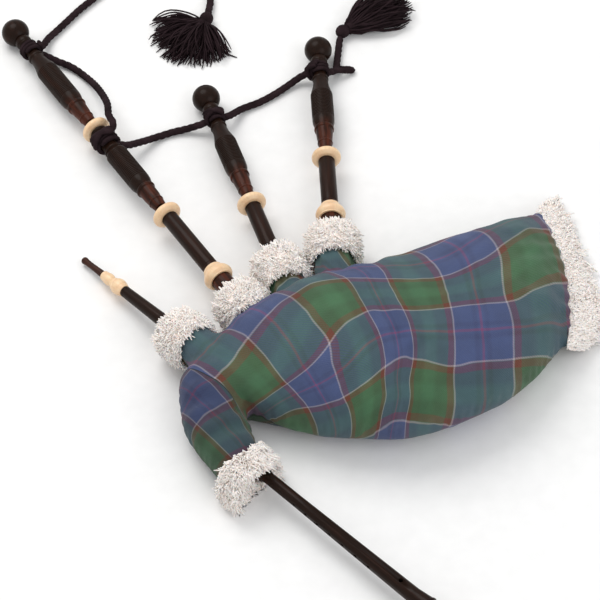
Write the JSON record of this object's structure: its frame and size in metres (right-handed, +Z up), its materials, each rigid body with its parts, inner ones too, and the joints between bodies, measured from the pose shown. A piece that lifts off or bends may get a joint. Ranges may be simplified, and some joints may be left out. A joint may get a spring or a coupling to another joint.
{
  "type": "bagpipes",
  "caption": "Great Highland type bagpipes lying flat: bag in a tartan cover with fleece trims, corded wooden drones with ball finials, blowpipe and conical chanter.",
  "frame": {"origin": "on the flat underside of the covered bag, near the middle of the bag's body, at the level of the surface it lies on", "axes": "+Z up from the surface, +Y the way the drones point, +X towards the rear end of the bag"},
  "size_m": [0.8629, 1.2643, 0.138],
  "materials": {
    "blackwood": "polished near-black hardwood with reddish brown glints",
    "imitation_ivory": "imitation ivory, satin polish",
    "tartan_cloth": "woven blue, green and slate check with thin pale lines",
    "fleece": "cream fleece",
    "bag_leather": "brown hide",
    "waxed_binding": "waxed linen binding",
    "dark_cord": "dark purple-brown twisted cord",
    "cane": "raw cane",
    "brown_horn": "brown horn-like plastic",
    "valve_rubber": "thin black rubber"
  },
  "bodies": {
    "root": {"leather_bag": "bag_leather", "leather_neck": "bag_leather", "bag_cover": "tartan_cloth", "neck_cover": "tartan_cloth", "fringe_rear": "fleece", "fringe_blowpipe": "fleece", "fringe_bass": "fleece", "fringe_tenor_1": "fleece", "fringe_tenor_2": "fleece", "stock_bass": "blackwood", "stock_tenor_1": "blackwood", "stock_tenor_2": "blackwood", "stock_blowpipe": "blackwood", "mount_stock_bass": "imitation_ivory", "mount_stock_tenor_1": "imitation_ivory", "mount_stock_tenor_2": "imitation_ivory", "ferrule_stock_blowpipe": "imitation_ivory", "binding_bass": "waxed_binding", "binding_tenor_1": "waxed_binding", "binding_tenor_2": "waxed_binding", "binding_blowpipe": "waxed_binding", "bass_lower_joint": "blackwood", "tenor_1_lower_joint": "blackwood", "tenor_2_lower_joint": "blackwood", "mount_bass_lower": "imitation_ivory", "mount_tenor_1": "imitation_ivory", "mount_tenor_2": "imitation_ivory", "reed_bass": "cane", "reed_tenor_1": "cane", "reed_tenor_2": "cane", "cord_bass_to_tenor_1": "dark_cord", "cord_tenor_1_to_tenor_2": "dark_cord"},
    "bass_middle": {"bass_middle_joint": "blackwood", "mount_bass_middle": "imitation_ivory", "cord_wrap_bass_middle": "dark_cord", "cord_bass": "dark_cord"},
    "bass_top": {"bass_top_joint": "blackwood", "finial_bass": "blackwood", "cord_wrap_bass_top": "dark_cord", "cord_tail": "dark_cord", "tassel_left": "dark_cord"},
    "tenor_1_top": {"tenor_1_top_joint": "blackwood", "finial_tenor_1": "blackwood", "cord_wrap_tenor_1": "dark_cord"},
    "tenor_2_top": {"tenor_2_top_joint": "blackwood", "finial_tenor_2": "blackwood", "cord_wrap_tenor_2": "dark_cord", "tassel_right": "dark_cord"},
    "blowpipe": {"blowpipe_tube": "blackwood", "bulb_blowpipe": "imitation_ivory", "cup_mouthpiece": "imitation_ivory"},
    "mouthpiece": {"mouthpiece": "brown_horn"},
    "valve_flap": {"valve_flap": "valve_rubber"},
    "chanter_stock": {"stock_chanter": "blackwood", "ferrule_stock_chanter": "imitation_ivory", "binding_chanter": "waxed_binding", "fringe_neck": "fleece"},
    "chanter": {"chanter": "blackwood", "chanter_sole": "imitation_ivory", "reed_chanter": "cane"}
  },
  "joints": [
    {"name": "bass_middle_tuning", "type": "slide", "parent": "root", "child": "bass_middle", "axis": [-0.531, 0.8466, -0.0363], "range_m": [-0.005, 0.025], "deforming": ["cord_bass_to_tenor_1"]},
    {"name": "bass_top_tuning", "type": "slide", "parent": "bass_middle", "child": "bass_top", "axis": [-0.531, 0.8466, -0.0363], "range_m": [-0.005, 0.025], "deforming": ["cord_bass"]},
    {"name": "tenor_1_tuning", "type": "slide", "parent": "root", "child": "tenor_1_top", "axis": [-0.302, 0.952, -0.0509], "range_m": [-0.005, 0.025], "deforming": ["cord_bass_to_tenor_1", "cord_tenor_1_to_tenor_2"]},
    {"name": "tenor_2_tuning", "type": "slide", "parent": "root", "child": "tenor_2_top", "axis": [-0.0479, 0.9976, -0.0509], "range_m": [-0.005, 0.025], "deforming": ["cord_tenor_1_to_tenor_2"]},
    {"name": "blowpipe_pull", "type": "slide", "parent": "root", "child": "blowpipe", "axis": [-0.6454, 0.7477, -0.1564], "range_m": [0, 0.02]},
    {"name": "mouthpiece_pull", "type": "slide", "parent": "blowpipe", "child": "mouthpiece", "axis": [-0.6454, 0.7477, -0.1564], "range_m": [0, 0.012]},
    {"name": "valve_swing", "type": "hinge", "parent": "blowpipe", "child": "valve_flap", "pos_m": [-0.28132, -0.01044, 0.05114], "axis": [-0.757, -0.6534, 0], "range_deg": [0, 40]},
    {"name": "neck_bend", "type": "hinge", "parent": "root", "child": "chanter_stock", "pos_m": [-0.2465, -0.1235, 0.036], "axis": [0, 0, 1], "range_deg": [-10, 10], "deforming": ["neck_cover", "leather_neck"]},
    {"name": "chanter_pull", "type": "slide", "parent": "chanter_stock", "child": "chanter", "axis": [0.7059, -0.7083, 0], "range_m": [0, 0.02]}
  ]
}
